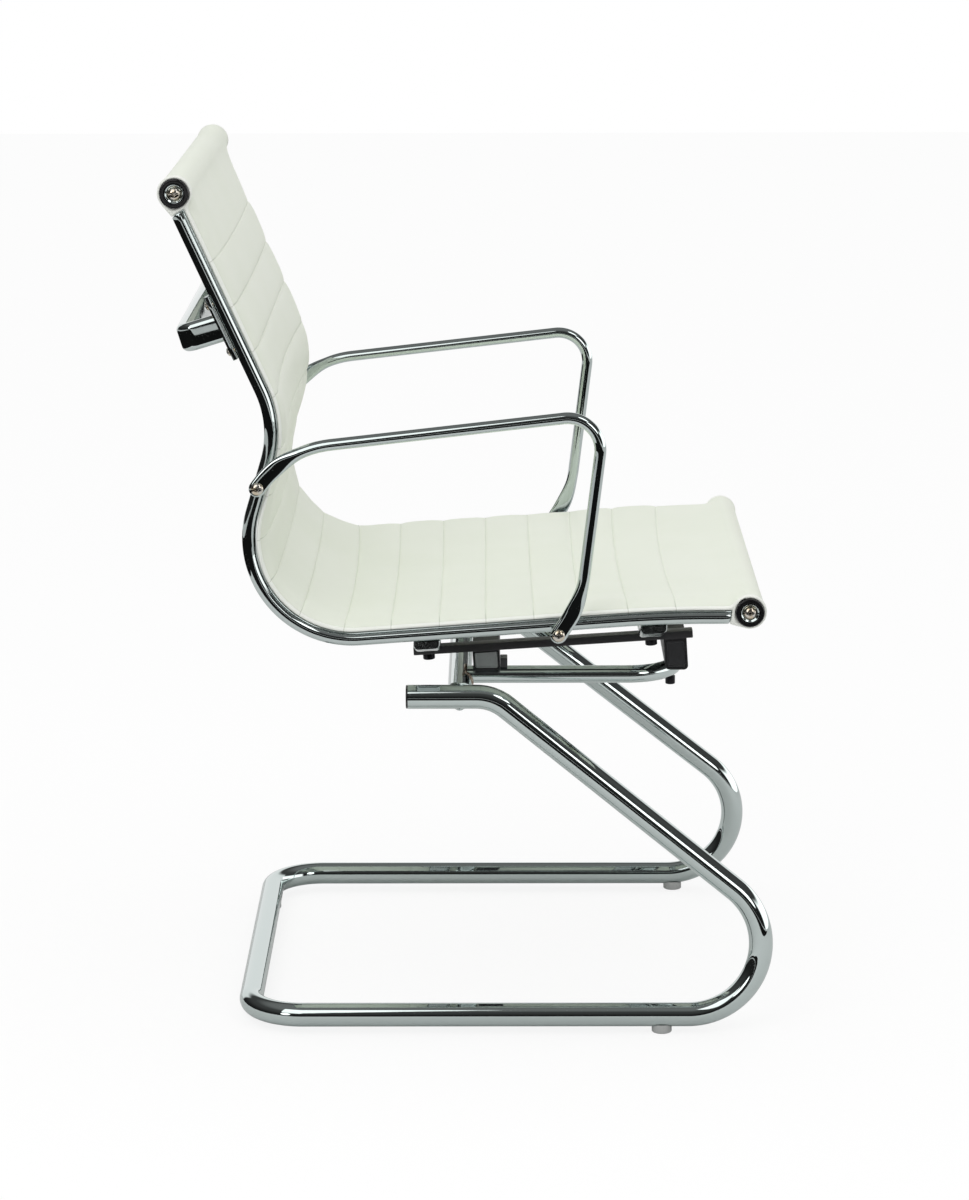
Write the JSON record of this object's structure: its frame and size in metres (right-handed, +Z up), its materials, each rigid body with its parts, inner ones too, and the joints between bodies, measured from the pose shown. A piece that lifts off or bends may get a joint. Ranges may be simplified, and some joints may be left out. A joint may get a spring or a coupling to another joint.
{
  "type": "cantilever visitor armchair",
  "caption": "Armchair on a bent chrome tube sled base, with a one-piece ribbed leatherette sling on polished side rails and looped rod armrests",
  "frame": {"origin": "Under the middle of the chair's outline, on the floor", "axes": "+X forward, +Y to the sitter's left, +Z up"},
  "size_m": [0.624, 0.5686, 0.8978],
  "materials": {
    "chrome": "bright chrome plate",
    "polished_alloy": "polished",
    "black_paint": "satin black",
    "black_steel": "black",
    "black_plastic": "satin black",
    "grey_plastic": "matt grey",
    "steel": "plain steel",
    "leatherette": "smooth ivory leatherette",
    "glide_plastic": "clear grey"
  },
  "bodies": {
    "root": {"arm_screw_front_left": "steel", "arm_screw_front_right": "steel", "arm_screw_rear_left": "steel", "arm_screw_rear_right": "steel", "arm_spacer_front_left": "chrome", "arm_spacer_front_right": "chrome", "arm_spacer_rear_left": "chrome", "arm_spacer_rear_right": "chrome", "armrest_left": "chrome", "armrest_right": "chrome", "back_brace": "polished_alloy", "bar_bolt_front_left": "black_steel", "bar_bolt_front_right": "black_steel", "bar_bolt_rear_left": "black_steel", "bar_bolt_rear_right": "black_steel", "beam_plug_front_left": "grey_plastic", "beam_plug_front_right": "grey_plastic", "beam_plug_rear_left": "grey_plastic", "beam_plug_rear_right": "grey_plastic", "brace_screw_lower_left": "steel", "brace_screw_lower_right": "steel", "brace_screw_upper_left": "steel", "brace_screw_upper_right": "steel", "cap_screw_front_left": "steel", "cap_screw_front_right": "steel", "cap_screw_top_left": "steel", "cap_screw_top_right": "steel", "cap_washer_front_left": "chrome", "cap_washer_front_right": "chrome", "cap_washer_top_left": "chrome", "cap_washer_top_right": "chrome", "cross_tube": "chrome", "end_cap_front_left": "black_plastic", "end_cap_front_right": "black_plastic", "end_cap_top_left": "black_plastic", "end_cap_top_right": "black_plastic", "front_beam": "black_paint", "front_roll_tube": "steel", "glide_front_left": "glide_plastic", "glide_front_right": "glide_plastic", "glide_rear_left": "glide_plastic", "glide_rear_right": "glide_plastic", "hoop_bolt_left": "black_steel", "hoop_bolt_right": "black_steel", "hoop_lug_left": "steel", "hoop_lug_right": "steel", "rear_beam": "black_paint", "seat_bar_left": "black_steel", "seat_bar_right": "black_steel", "side_rail_left": "polished_alloy", "side_rail_right": "polished_alloy", "sled_frame": "chrome", "sling": "leatherette", "spreader_front": "chrome", "spreader_rear": "chrome", "support_hoop": "chrome", "top_roll_tube": "steel", "tube_plug_left": "black_plastic", "tube_plug_right": "black_plastic"}
  },
  "joints": []
}
